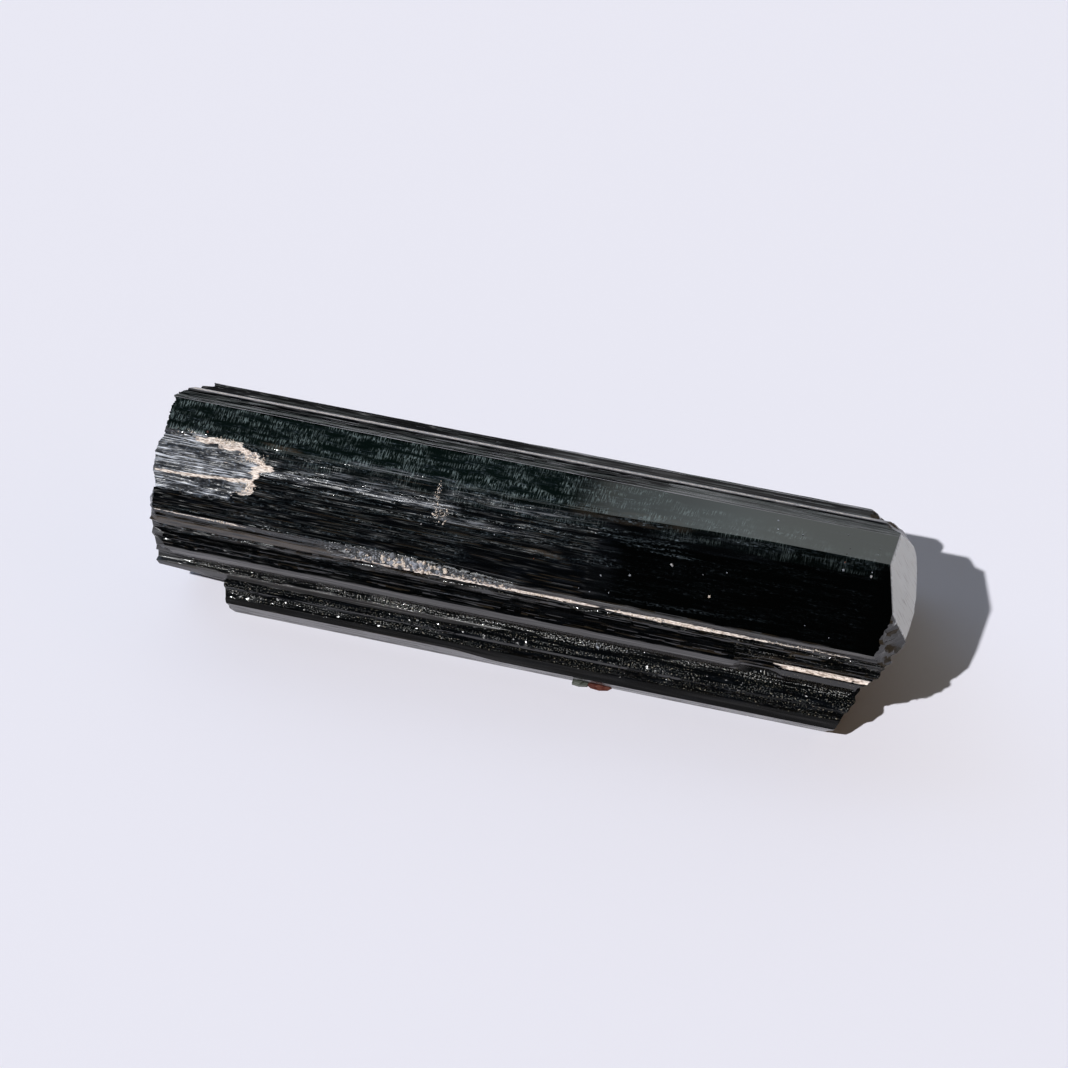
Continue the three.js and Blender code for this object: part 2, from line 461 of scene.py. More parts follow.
def write_numbers(mesh, name, values):
    """A number for each point, which the grooves and the finish read by name."""
    made = mesh.attributes.new(name, "FLOAT", "POINT")
    made.data.foreach_set("value", np.asarray(values, np.float32))


def set_growth(mesh, own, count, rings, around, outward, quads, cap_faces):
    """Stores the growth coordinates on the mesh: the distance along and round each line, the
    way out of the face, and two UV maps, one in millimetres and one for the export's bake."""
    side = rings * count
    distance = np.full(len(own), ON_A_CAP)
    distance[:side] = np.tile(around, rings)
    way = np.zeros((len(own), 3))
    way[:side, 1:] = np.tile(outward, (rings, 1))
    write_numbers(mesh, "along", own[:, 0])
    write_numbers(mesh, "around", distance)
    proud = mesh.attributes.new("outward", "FLOAT_VECTOR", "POINT")
    proud.data.foreach_set("vector", way.astype(np.float32).ravel())
    corners = np.zeros(len(mesh.loops), np.int32)
    mesh.loops.foreach_get("vertex_index", corners)
    face_of = np.repeat(np.arange(len(mesh.polygons)), [p.loop_total for p in mesh.polygons])
    on_side = face_of < quads
    u = own[corners, 0].copy()
    v = distance[corners].copy()
    # the quads between the last and the first line run on past the end instead of back
    column = corners % count
    seam = on_side & (column == 0) & (face_of % count == count - 1)
    v[seam] = around.max() + (around[1] - around[0])
    u[~on_side] = own[corners[~on_side], 1] + CAP_SHIFT
    v[~on_side] = own[corners[~on_side], 2] + CAP_SHIFT
    growth = mesh.uv_layers.new(name="growth")
    growth.data.foreach_set("uv", np.stack([u, v], 1).astype(np.float32).ravel())
    bake_u = (u - own[:, 0].min()) / np.ptp(own[:, 0])
    bake_v = (v - around.min()) / (np.ptp(around) + 1) * BAKE_SIDES
    cap_left = np.where(face_of >= quads + cap_faces[0], BAKE_CAP_RIGHT, BAKE_CAP_LEFT)
    size = max(np.ptp(own[:, 1]), np.ptp(own[:, 2]))
    cap_u = (own[corners, 1] - own[:, 1].min()) / size * BAKE_CAP_SIZE + cap_left
    cap_v = (own[corners, 2] - own[:, 2].min()) / size * BAKE_CAP_SIZE + BAKE_CAP_BOTTOM
    bake_u[~on_side] = cap_u[~on_side]
    bake_v[~on_side] = cap_v[~on_side]
    bake = mesh.uv_layers.new(name="OFBake")
    bake.data.foreach_set("uv", np.stack([bake_u, bake_v], 1).astype(np.float32).ravel())


def main_left_x(around):
    """The splintered edge of the left end."""
    coarse, fine = smooth_noise(around / 0.34, 0.5, 11), smooth_noise(around / 0.11, 0.5, 12)
    return rim_x(MAIN_LEFT_RIM, around) + (0.11 * coarse + 0.07 * fine)


def end_face_x(y, z):
    """The flat face at the right end, bent back towards the rear."""
    return plane_x(END_FACE, y, z) - END_BEND * np.maximum(y - END_BEND_FROM, 0)


def main_end(y, z):
    """How far the right end reaches at one place of the section."""
    flat = end_face_x(y, z)
    outside = np.maximum(-depth_inside(y, z, END_OUTLINE), 0)
    rough = 0.3 * smooth_noise(y / 0.5, z / 0.55, 21) + 0.3 * smooth_noise(y / 1.7, z / 1.5, 22)
    broken = np.minimum(plane_x(BROKEN_FOOT, y, z), plane_x(FRONT_CHIP, y, z))
    broken = np.minimum(broken, flat - 1.05 * outside - 0.08 * outside ** 2)
    depth = np.clip((flat - broken) / 0.5, 0, 1)
    rough = rough + 0.10 * smooth_noise(y / 0.24, z / 0.26, 23)
    return np.minimum(flat, broken + depth * rough)


def main_left_height(y, z):
    """The splintered left end: columns broken off at different lengths."""
    column = smooth_noise(y / 0.9, z / 0.7, 31)
    fine = smooth_noise(y / 0.28, z / 0.22, 32)
    return 0.9 + 0.28 * column + 0.05 * fine + 0.12 * max(0, 8 - z) + 0.05 * max(0, 5.5 - z) ** 2


def hollow_depth_in(x, around):
    """Distance in from the hollow's ragged edge."""
    across = x + 0.28 * smooth_noise(x / 0.5, around / 0.22, 41)
    up = around + 0.16 * smooth_noise(x / 0.45, around / 0.4, 40)
    return depth_inside(across, up, HOLLOW_OUTLINE)


def main_relief(x, around):
    """The hollow at the left end, sunk into the broad face, and its splintered floor."""
    inside = hollow_depth_in(x, around)
    sunk = soft_step(inside, 0, 0.28)
    step = soft_step(around + 0.05 * smooth_noise(x / 1.3, 0.5, 42), 3.15, 3.3)
    floor = HOLLOW_DEPTH * (1.15 - 0.4 * step)
    ragged = smooth_noise(x / 1.6, around / 0.16, 43) * 0.09 + smooth_noise(x / 0.5, around / 0.3, 44) * 0.07
    pocket = soft_band(x, 49.6, 52.0, 0.8) * soft_band(around, -5.2, -3.95, 0.12)
    return -sunk * (floor + ragged) - 0.3 * pocket


main_seed, main_own = crystal_mesh(
    "main_seed", MAIN_SECTION, BROAD_FACE_FOOT, MAIN_STATIONS, MAIN_MORPH,
    main_left_x, main_end, main_relief,
    ((main_left_height, 0.3, [], 51), (main_end, 0.22, END_FACE_EDGES, 52)),
)

# Where the finish changes, as (from x, to x, from, to round the section, strength); distances
# round the section are from the foot of the broad face, up being positive
MAIN_ZONES = {
    "silver": [
        (9.8, 24.2, 4.35, 4.75, 0.42), (10.5, 16, 5.2, 5.6, 0.22), (17.5, 24.5, 5.1, 5.4, 0.22),
        (17, 24, 6.5, 6.9, 0.22), (25, 34, 5.4, 6, 0.16), (24.5, 31, 3.5, 3.9, 0.22),
    ],
    # scuffs, their colour lightened by a painted glint
    "dashes": [
        (0.5, 40, 6.6, 9.4, 0.5), (7, 34, 5.6, 6.8, 0.9), (6, 44, 4, 6, 0.85), (9, 24, 2.6, 4.2, 0.75),
        (9.5, 20, 4.5, 5, 1.8), (13, 24, 3.6, 4, 1.7), (20, 24, 4.8, 5.2, 1.6), (24, 38, 2.2, 4.2, 0.55),
        (8, 26, 0.3, 2.6, 0.5), (34, 50, 5.8, 6.9, 0.7), (1, 20, -0.6, 0.4, 0.9), (38, 58, 0.3, 6.4, 0.07),
        (50, 58, 5.6, 6.8, 0.3), (38, 51, 0.5, 0.9, 0.4), (20, 32, 4.1, 4.7, 1), (6, 41, 6.55, 7, 1),
        (1, 20, -2.3, -1.75, 0.9), (1, 30, -3.5, -3.1, 0.4),
    ],
    "strokes": [
        (0.5, 34, 6.6, 9.6, 1), (34, 41, 6.5, 9.5, 0.8), (41, 52, 6.3, 8.8, 0.6), (52, 60, 6.3, 7.6, 0.3),
        (42, 58, 5.3, 6.45, 0.22), (7, 36, 5.2, 6.7, 0.4),
    ],
    "pits": [
        (4, 42, -6.1, -5.4, 1), (41, 52.5, -7.6, -5.35, 1), (52.8, 60, -7.6, -4.35, 1),
        (17, 60, -2.2, -1.8, 0.4), (49, 60, -3.6, -1.8, 0.5),
    ],
    "crust": [(16.6, 21, -1.4, 0.0, 0.8), (19.5, 30.0, -1.3, 0.1, 1.0)],
    "stain": [
        (2, 16.5, -1.65, -1.02, 1), (10.1, 11, 6.7, 7, 1), (35, 41, 6.4, 6.7, 0.3),
        (32.1, 33.2, 2.3, 2.7, 0.9), (35, 43, 5.9, 7, 0.3), (52, 59, -3.6, -3.1, 0.5),
    ],
    # painted highlight: flat grey on the bands and crest lines that shine
    "film": [
        (2, 49, -5.25, -4.2, 0.8), (2, 14, -4.75, -4.45, 1.5), (5, 34, -6.6, -6.1, 1),
        (31, 60, -0.5, -0.05, 0.8), (2, 17, -0.5, -0.1, 0.3), (2, 34, -2.3, -2.1, 0.35),
        (0, 60, 13.9, 14.65, 0.9), (0, 60, 10.7, 11.1, 0.55), (0, 60, 12.4, 12.6, 0.5),
        (38, 62, 9.9, 12.9, 0.35),
    ],
    "dull": [
        (0, 62, -11.5, 0, 0.35), (0, 38, 0.2, 6.2, 0.55), (38, 50, 4.8, 6.2, 0.3), (0, 62, 10, 40, 0.5),
        (36, 62, 6.5, 9.8, 0.5),
    ],
    "grooving": [
        (0, 62, -11.5, -6.7, 0.3), (0, 62, -5.2, -4.2, 0.05), (0, 62, -4, -1.75, 0.55), (0, 62, -1, 0, 0.2),
        (18, 62, -1.75, -1, 0.2), (0, 36, 0.3, 6.7, 0.14), (36, 62, 0.3, 6.7, 0.01),
        (0, 62, 6.8, 9.6, 0.01), (0, 40, 9.9, 13, 0.3), (40, 62, 9.9, 13, 0.08), (0, 62, 14.9, 40, 0.45),
    ],
}
# Seams of pale mineral along the grooves, as (x, distance round, half width, strength)
MAIN_SEAMS = [
    [(17.0, -1.40, 0.05, 0.5), (21, -1.36, 0.12, 0.7), (27, -1.32, 0.20, 0.9),
     (31, -1.28, 0.24, 1.0), (36, -1.28, 0.22, 1.0), (38.2, -1.28, 0.09, 0.9)],
    [(38.4, -1.40, 0.08, 0.6), (40.5, -1.42, 0.24, 0.9), (46.5, -1.42, 0.29, 1.0),
     (49, -1.42, 0.18, 0.7), (53, -1.42, 0.11, 0.5), (58, -1.42, 0.08, 0.4)],
    [(52.3, -3.80, 0.05, 1.3), (53.4, -3.80, 0.20, 1.6), (57, -3.80, 0.19, 1.6),
     (60, -3.80, 0.14, 1.4)],
    [(0.7, 14.30, 0.22, 0.85), (20, 14.30, 0.20, 0.6), (57, 14.30, 0.18, 0.42)],
    [(0.6, 3.22, 0.06, 0.8), (3.0, 3.26, 0.10, 1.1), (7.6, 3.55, 0.13, 1.3), (8.4, 3.7, 0.18, 1.2)],
    [(1.4, -0.18, 0.04, 0.5), (5.4, -0.2, 0.09, 0.7), (7.6, -0.25, 0.14, 0.8), (9.2, -0.3, 0.03, 0.5)],
]


def patches(x, around, shapes, ragged):
    """The strongest of several soft-edged patches at each point."""
    total = np.zeros(len(x))
    across = around + ragged * smooth_noise(x / 0.9, around / 0.3, 45)
    along = x + 6 * ragged * smooth_noise(x / 2.0, around / 0.16, 46)
    for from_x, to_x, low, high, strength in shapes:
        here = soft_band(along, from_x, to_x, 1.4) * soft_band(across, low, high, 0.12)
        total = np.maximum(total, here * strength)
    return total


def seams(x, around, lines):
    """Narrow seams that taper, thicken and break along the crystal."""
    total = np.zeros(len(x))
    for line in lines:
        places, middles, widths, strengths = np.array(line).T
        ragged = 1 + 0.45 * smooth_noise(x / 0.8, around / 0.08, 47)
        off = np.abs(around - np.interp(x, places, middles)) / (np.interp(x, places, widths) * ragged)
        here = (1 - soft_step(off, 0.55, 1.3)) * np.interp(x, places, strengths)
        here *= (x > places[0]) & (x < places[-1])
        total = np.maximum(total, here)
    return total


# How sharply a valley is cut between two ribs, and how often the grooves fade in and out for
# each millimetre along and round the crystal
VALLEY_STEEPNESS = 8.0
FADE_ALONG = 0.07
FADE_AROUND = 2.6


def new_group(name, kind, inputs, output):
    """A node group with named inputs, as (name, kind), and one output; and its input sockets."""
    group = bpy.data.node_groups.new(name, kind)
    for label, socket in inputs:
        group.interface.new_socket(label, in_out="INPUT", socket_type="NodeSocket" + socket)
    label, socket = output
    group.interface.new_socket(label, in_out="OUTPUT", socket_type="NodeSocket" + socket)
    return group, group.nodes.new("NodeGroupInput").outputs


def stored(tree, name, kind="FLOAT"):
    """A number or vector that is stored on the points."""
    made = add_node(tree, "GeometryNodeInputNamedAttribute", {"Name": name}, data_type=kind)
    return made.outputs["Attribute"]


def end_tree(tree, geometry, material):
    """The end of a Geometry Nodes tree: everything made real and given its material."""
    real = add_node(tree, "GeometryNodeRealizeInstances", {0: geometry}).outputs[0]
    painted = add_node(tree, "GeometryNodeSetMaterial", {"Geometry": real, "Material": material})
    tree.links.new(painted.outputs[0], tree.nodes.new("NodeGroupOutput").inputs[0])


def groove_tree():
    """Geometry Nodes: presses the growth grooves of tourmaline into a prism, narrow valleys
    between ribs and finer lines, all of them straight and fading in and out along it."""
    sizes = [(name, "Float") for name in ("Rib Pitch", "Rib Depth", "Line Pitch", "Line Depth", "Seed")]
    tree, given = new_group(
        "growth grooves", "GeometryNodeTree",
        [("Geometry", "Geometry"), *sizes, ("Material", "Material")], ("Geometry", "Geometry"),
    )
    along, around = stored(tree, "along"), stored(tree, "around")

    def wave(pitch, shift):
        """A soft random wave across the face, the same all the way along."""
        where = maths(tree, "ADD", maths(tree, "DIVIDE", around, pitch), given["Seed"])
        where = {"W": maths(tree, "ADD", where, shift), "Detail": 0.0}
        made = add_node(tree, "ShaderNodeTexNoise", where, noise_dimensions="1D")
        return maths(tree, "SUBTRACT", made.outputs[0], 0.5)

    valley = times(tree, maths(tree, "ABSOLUTE", wave(given["Rib Pitch"], 31.7)), VALLEY_STEEPNESS)
    valley = maths(tree, "SUBTRACT", 1.0, maths(tree, "MINIMUM", valley, 1.0))
    ribs = times(tree, valley, given["Rib Depth"])
    lines = maths(tree, "ADD", wave(given["Line Pitch"], 77.3), 0.5)
    lines = times(tree, lines, given["Line Depth"])
    spot = {0: times(tree, along, FADE_ALONG), 1: times(tree, around, FADE_AROUND)}
    spot = {"Vector": add_node(tree, "ShaderNodeCombineXYZ", spot).outputs[0], "Detail": 0.0}
    fade = add_node(tree, "ShaderNodeTexNoise", spot, noise_dimensions="2D").outputs[0]
    fade = times(tree, fade, 1.9)
    sunk = times(tree, maths(tree, "ADD", ribs, lines), stored(tree, "grooving"), fade, -MM)
    way = {0: stored(tree, "outward", "FLOAT_VECTOR"), "Scale": sunk}
    offset = add_node(tree, "ShaderNodeVectorMath", way, operation="SCALE").outputs[0]
    moved = add_node(
        tree, "GeometryNodeSetPosition", {"Geometry": given["Geometry"], "Offset": offset},
    ).outputs[0]
    end_tree(tree, moved, given["Material"])
    return tree


def run_tree(piece, tree, name, **inputs):
    """Runs a Geometry Nodes tree on the piece, which the result replaces as a plain mesh."""
    modifier = piece.modifiers.new(tree.name, "NODES")
    modifier.node_group = tree
    for item in tree.interface.items_tree:
        key = item.name.replace(" ", "_").lower()
        if item.in_out == "INPUT" and key in inputs:
            modifier[item.identifier] = inputs[key]
    graph = bpy.context.evaluated_depsgraph_get()
    made = bpy.data.meshes.new_from_object(piece.evaluated_get(graph), depsgraph=graph)
    piece.modifiers.clear()
    made.name = name
    bpy.data.objects.remove(piece)
    return add_object(name, made)


def grown(plain, name, angle, **sizes):
    """A plain prism with its grooves pressed in, shaded smooth up to edges sharper than the angle."""
    prism = run_tree(plain, grooves, name, material=tourmaline, **sizes)
    prism.data.shade_smooth()
    prism.data.set_sharp_from_angle(angle=math.radians(angle))
    return prism


def broken_rows_group():
    """Shader group: short marks in rows over the growth coordinates. Length runs along the
    crystal and height round it, in millimetres, and spread is how much of the face is marked."""
    inputs = [(name, "Float") for name in ("Length", "Height", "Spread", "Softness", "Seed")]
    group, given = new_group("broken rows", "ShaderNodeTree", inputs, ("Mask", "Float"))
    growth = add_node(group, "ShaderNodeUVMap", uv_map="growth").outputs[0]
    across, up, _ = add_node(group, "ShaderNodeSeparateXYZ", {0: growth}).outputs
    across = maths(group, "DIVIDE", across, given["Length"])
    up = maths(group, "DIVIDE", up, given["Height"])
    up = maths(group, "ADD", up, times(group, given["Seed"], 13.7))
    where = add_node(group, "ShaderNodeCombineXYZ", {0: across, 1: up}).outputs[0]
    noise = {"Vector": where, "Scale": 1.0, "Detail": 1.2, "Roughness": 0.5}
    cloud = add_node(group, "ShaderNodeTexNoise", noise, noise_dimensions="2D").outputs[0]
    low = maths(group, "SUBTRACT", 0.75, times(group, given["Spread"], 0.5))
    mask = ramp(group, cloud, low, maths(group, "ADD", low, given["Softness"]))
    group.links.new(mask, group.nodes.new("NodeGroupOutput").inputs[0])
    return group


broken_rows = broken_rows_group()


TOURMALINE_IOR = 1.64
CLEAN_ROUGHNESS = 0.05
DULL_ROUGHNESS = 0.22
BUMP_HEIGHT = 0.03 * MM
BLACK = (0.0004, 0.0005, 0.0005, 1)
BLACK_GREEN = (0.0020, 0.0048, 0.0042, 1)
SLATE = (0.0040, 0.0055, 0.0085, 1)
# Scuffs in rows: their blue-grey is partly their own dust and partly a painted glint, the light they catch
# painted into their colour
SCUFF_GLINT_DIM = (0.012, 0.018, 0.022, 1)
SCUFF_GLINT_BRIGHT = (0.095, 0.120, 0.145, 1)
STROKE_COLOUR = (0.120, 0.155, 0.160, 1)
# Pits: brown-grey specks, partly dirt in them and partly a painted sparkle standing for the glints of their
# walls
PAINTED_SPARKLE_DIM = (0.010, 0.012, 0.011, 1)
PAINTED_SPARKLE_BRIGHT = (0.20, 0.18, 0.14, 1)
# Splintered patches: pale fibres whose silvery sheen is partly painted into their colour, lightest in the
# streaks
SILVER_DARK = (0.009, 0.012, 0.018, 1)
SILVER_MIDDLE = (0.13, 0.15, 0.19, 1)
PAINTED_SILVER_SHEEN = (0.62, 0.66, 0.75, 1)
CREAM_DARK = (0.36, 0.28, 0.24, 1)
CREAM_LIGHT = (0.87, 0.79, 0.73, 1)
CRUST_DARK = (0.012, 0.014, 0.016, 1)
CRUST_LIGHT = (0.26, 0.28, 0.31, 1)
STAIN = (0.042, 0.033, 0.025, 1)
# Painted highlight: a flat grey painted where bands, crest lines and broken ends catch the light
PAINTED_HIGHLIGHT_GREY = (0.105, 0.103, 0.108, 1)
# Painted reflection on the flat right end: a pale colour that stands for the bright table it mirrors at a
# grazing angle, with darker brushed marks; the face itself is frosted
PAINTED_GLARE_DARK = (0.48, 0.52, 0.57, 1)
PAINTED_GLARE_LIGHT = (0.84, 0.92, 0.98, 1)


def tourmaline_material():
    """Black tourmaline: glassy where a face is clean, with rows of scuffs lightened by a painted glint,
    cross-hatching, pits with specks of dirt and painted sparkle, silvery splintered patches whose
    sheen is partly painted, pale mineral, painted highlights on shining bands and a painted
    reflection on the flat end, where the piece says so."""
    material, tree, shader = new_material("black tourmaline")
    shader.inputs["IOR"].default_value = TOURMALINE_IOR

    def amount(name):
        """How much of a finish the piece has here."""
        return add_node(tree, "ShaderNodeAttribute", attribute_name=name).outputs["Fac"]

    def rows(length, height, spread, softness, seed):
        """One set of broken rows, as a mask."""
        sizes = {"Length": length, "Height": height, "Spread": spread, "Softness": softness, "Seed": seed}
        return add_node(tree, "ShaderNodeGroup", sizes, node_tree=broken_rows).outputs["Mask"]

    def both(*masks):
        return times(tree, *masks)

    def uneven(name, marks, share):
        """A finish that the marks thin out, all but the last share of it."""
        return both(amount(name), maths(tree, "ADD", both(marks, 1 - share), share))

    def either(first, second):
        return maths(tree, "MAXIMUM", first, second)

    def paint_over(mask, *shades):
        """The colour so far, with a mask's one shade over it or its two blended by a second mask."""
        shade = blend_colour(tree, *shades) if len(shades) == 3 else shades[0]
        return blend_colour(tree, mask, colour, shade)

    dashes = either(rows(0.9, 0.10, 0.50, 0.14, 1), rows(0.26, 0.10, 0.44, 0.14, 2))
    dashes = both(dashes, rows(6.0, 0.34, 0.72, 0.25, 3), amount("dashes"))
    hatched = amount("strokes")
    strokes = either(rows(0.10, 1.00, 0.52, 0.25, 4), rows(0.15, 0.40, 0.38, 0.2, 5))
    strokes = both(strokes, rows(2.2, 0.6, 0.80, 0.4, 17), hatched)
    pits = both(rows(0.14, 0.10, 0.46, 0.12, 6), rows(5.0, 0.2, 0.75, 0.2, 7), amount("pits"))
    silver = amount("silver")
    silver_streaks = both(rows(2.4, 0.10, 0.55, 0.2, 8), rows(4.0, 0.6, 0.85, 0.3, 18))
    silver_flecks = rows(0.30, 0.13, 0.38, 0.2, 9)
    grain = maths(tree, "ADD", both(rows(0.5, 0.10, 0.85, 0.3, 10), 0.8), 0.45)
    cream = ramp(tree, both(amount("cream"), grain), 0.2, 0.5)
    crust = both(amount("crust"), rows(0.7, 0.28, 0.80, 0.15, 11))
    crust_light = rows(0.20, 0.12, 0.46, 0.15, 12)
    stain = both(amount("stain"), rows(2.4, 0.4, 0.95, 0.3, 20))
    frost_and_painted_glare = amount("frost_and_painted_glare")
    dull = uneven("dull", rows(3.0, 0.3, 0.6, 0.3, 19), 0.3)
    # painted highlight, broken into long rows
    film = uneven("film", rows(9.0, 0.16, 0.7, 0.4, 22), 0.4)

    colour = blend_colour(tree, hatched, BLACK, BLACK_GREEN)
    colour = paint_over(dull, SLATE)
    colour = paint_over(stain, STAIN)
    colour = paint_over(film, PAINTED_HIGHLIGHT_GREY)
    # scuffs, lightened by a painted glint
    colour = paint_over(dashes, rows(0.4, 0.2, 0.42, 0.25, 16), SCUFF_GLINT_DIM, SCUFF_GLINT_BRIGHT)
    colour = paint_over(strokes, STROKE_COLOUR)
    # pits, with specks of dirt and painted sparkle
    colour = paint_over(pits, rows(0.25, 0.15, 0.40, 0.2, 21), PAINTED_SPARKLE_DIM, PAINTED_SPARKLE_BRIGHT)
    silvery = blend_colour(tree, silver_flecks, SILVER_DARK, SILVER_MIDDLE)
    # splintered patches, their silvery sheen partly painted in
    colour = paint_over(silver, silver_streaks, silvery, PAINTED_SILVER_SHEEN)
    colour = paint_over(crust, crust_light, CRUST_DARK, CRUST_LIGHT)
    colour = paint_over(cream, rows(0.45, 0.09, 0.92, 0.3, 14), CREAM_DARK, CREAM_LIGHT)
    # the flat right end, painted pale for the table it reflects
    colour = paint_over(frost_and_painted_glare, rows(0.12, 1.6, 0.30, 0.2, 13), PAINTED_GLARE_LIGHT, PAINTED_GLARE_DARK)
    tree.links.new(colour, shader.inputs["Base Color"])

    roughness = blend_value(tree, dull, CLEAN_ROUGHNESS, DULL_ROUGHNESS)
    for mask, value in (
        (film, 0.30), (dashes, 0.22), (both(hatched, 0.8), 0.05), (strokes, 0.3), (pits, 0.4),
        (silver, 0.42), (crust, 0.45), (cream, 0.8), (frost_and_painted_glare, 0.55),
    ):
        roughness = blend_value(tree, mask, roughness, value)
    tree.links.new(roughness, shader.inputs["Roughness"])

    height = 0.0
    for mask, value in (
        (dashes, 0.06), (strokes, 0.15), (pits, 0.22), (both(silver, silver_streaks), 0.6),
        (both(silver, silver_flecks), 0.4), (both(crust, crust_light), 1.2), (cream, 0.8),
    ):
        height = maths(tree, "ADD", height, both(mask, value))
    bump = add_node(tree, "ShaderNodeBump", {"Strength": 0.8, "Distance": BUMP_HEIGHT, "Height": height})
    tree.links.new(bump.outputs[0], shader.inputs["Normal"])
    return material


tourmaline = tourmaline_material()
grooves = groove_tree()


FINISHES = (
    "dashes", "strokes", "pits", "silver", "cream", "crust", "stain", "film", "frost_and_painted_glare", "dull",
    "grooving",
)


def paint(piece, **zones):
    """Stores each zone's strength on the piece, and 0 where it has none."""
    for name in FINISHES:
        write_numbers(piece.data, name, zones.get(name, np.zeros(len(piece.data.vertices))))


def stored_numbers(piece, name):
    """A number that is stored on each point of the piece."""
    values = np.zeros(len(piece.data.vertices), np.float32)
    piece.data.attributes[name].data.foreach_get("value", values)
    return values.astype(float)


x, y, z = main_own.T
around = stored_numbers(main_seed, "around")
on_cap = around == ON_A_CAP
in_hollow = hollow_depth_in(x, around)
wall_width = 0.24 + 0.22 * soft_step(x, 7.0, 8.5) + 0.25 * smooth_noise(x / 0.7, around / 0.4, 48)
hollow_wall = 1 - soft_step(np.abs(in_hollow - wall_width * 0.5), wall_width * 0.4, wall_width * 0.75)
hollow_wall *= soft_step(x, 5.0, 6.0) * soft_step(around, 2.1, 2.5)
above_hollow = around + 0.12 * smooth_noise(x / 0.6, 0.5, 49)
hollow_blob = soft_band(x, 3.6, 7.0, 0.5) * soft_band(above_hollow, 6.15, 6.5, 0.12) * 0.8
end_face = on_cap & (x > 50) & (np.abs(x - end_face_x(y, z)) < 0.004)
zones = {
    name: patches(x, around, shapes, 0.0 if name == "grooving" else 0.10)
    for name, shapes in MAIN_ZONES.items()
}
zones["pits"] = zones["pits"] * ~on_cap
zones["dull"] = np.where(on_cap, 1.6, zones["dull"])
# The broken ends, all but the flat face, get a painted highlight
zones["film"] = np.where(on_cap & ~end_face, 0.28, zones["film"])
# The hollow's floor is splintered, its silvery sheen partly painted in
in_floor = soft_step(in_hollow, 0.0, 0.25) * (0.75 + 0.25 * soft_step(around, 3.0, 3.4))
zones["silver"] = np.maximum(zones["silver"], in_floor)
zones["cream"] = np.maximum.reduce([seams(x, around, MAIN_SEAMS), hollow_wall, hollow_blob])
# the flat end carries the painted reflection of the table
zones["frost_and_painted_glare"] = end_face.astype(float)
paint(main_seed, **zones)
main_prism = grown(
    main_seed, "main_prism", 14, rib_pitch=0.5, rib_depth=0.16, line_pitch=0.11, line_depth=0.12, seed=1.0,
)
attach(main_prism, "root")
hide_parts("tourmaline_crystal")


# ---------------------------------------------------------------------------
# Front prism
# A low crystal along the foot of the main one. Its underside shows as a bright bevel, the nose
# above it is smooth, and its top is eaten into rows of sparkling pits.

FRONT_SECTION = [
    (0, 0, 0, 0, VISIBLE), (-1, 1.9, -1, 1.52, VISIBLE), (-0.7, 2.28, -0.56, 2.1, VISIBLE),
    (-0.18, 2.72, -0.18, 2.72, VISIBLE), (-0.18, 2.95, -0.18, 2.95, VISIBLE),
    (0.15, 3.33, 0.35, 3.35, VISIBLE), (0.4, 3.02, 0.75, 3.42, HIDDEN), (2.5, 2.6, 2.5, 3.7, HIDDEN),
    (4.8, 1.8, 4.8, 2.4, HIDDEN), (4, 0, 4, 0, HIDDEN),
]
FRONT_MORPH = [(-1, 26, 31), (30, 26, 31)]
FRONT_LEFT_RIM = [(0, 8.3), (2.0, 8.0), (2.6, 7.8), (3.8, 7.5), (5, 7.45), (8, 8.0), (14, 8.3)]
# The plane of the right end
FRONT_END = (56.64, 0.0, 0.6)
FRONT_STATIONS = np.linspace(0, 52, 400)
# The pitted band, by distance round the section, and how little it mirrors
PITTED_FROM, PITTED_TO = 2.7, 4.6
PITTED_SPECULAR = 0.10


def front_end(y, z):
    """The slanting right end."""
    return plane_x(FRONT_END, y, z) + 0.16 * smooth_noise(y / 0.6, z / 0.5, 62)


def front_relief(x, around):
    """Pits eaten into the top, and small nicks along the lower edge."""
    pitted = soft_band(around, PITTED_FROM, PITTED_TO, 0.08)
    pits = soft_step(smooth_noise(x / 0.34, around / 0.16, 63), 0.15, 0.7)
    rows_of = soft_step(smooth_noise(x / 9, around / 0.3, 64), -0.7, 0.1)
    slots = soft_step(smooth_noise(x / 3.2, around / 0.22, 65), 0.45, 0.65)
    nicks = soft_step(smooth_noise(x / 0.5, 0.5, 66), 0.75, 0.95) * soft_band(around, 0, 0.15, 0.2)
    eaten = 0.5 + 0.5 * soft_step(x, 18, 30)
    return -pitted * eaten * (0.045 * pits * rows_of + 0.08 * slots) - 0.06 * nicks


front_seed, front_own = crystal_mesh(
    "front_seed", FRONT_SECTION, 0, FRONT_STATIONS, FRONT_MORPH,
    lambda around: rim_x(FRONT_LEFT_RIM, around) + 0.07 * smooth_noise(around / 0.3, 0.5, 61),
    front_end, front_relief,
    (
        (lambda y, z: 7.9 + 0.25 * smooth_noise(y / 0.5, z / 0.5, 67), 0.25, [], 68),
        (front_end, 0.25, [], 69),
    ),
)
x, y, z = front_own.T
around = stored_numbers(front_seed, "around")
on_cap = around == ON_A_CAP
smooth_line = soft_band(around, 3.32, 3.54, 0.04) * (1 - soft_band(x, 41, 43, 0.5)) * (x < 45)
paint(
    front_seed,
    pits=soft_band(around, PITTED_FROM, PITTED_TO, 0.1) * (1 - smooth_line),
    dull=np.where(around < 2.8, 0.35, 0.6),
    # painted highlight on the ends and on the smooth strip of the nose
    film=np.where(on_cap, 0.1, soft_band(around, 2.0, 2.6, 0.1) * 0.2),
    grooving=soft_band(around, 0.1, 2.7, 0.1) * 0.06 + soft_band(around, 5, 30, 0.5) * 0.6,
)
front_prism = grown(
    front_seed, "front_prism", 16, rib_pitch=0.5, rib_depth=0.12, line_pitch=0.12, line_depth=0.1, seed=20.0,
)
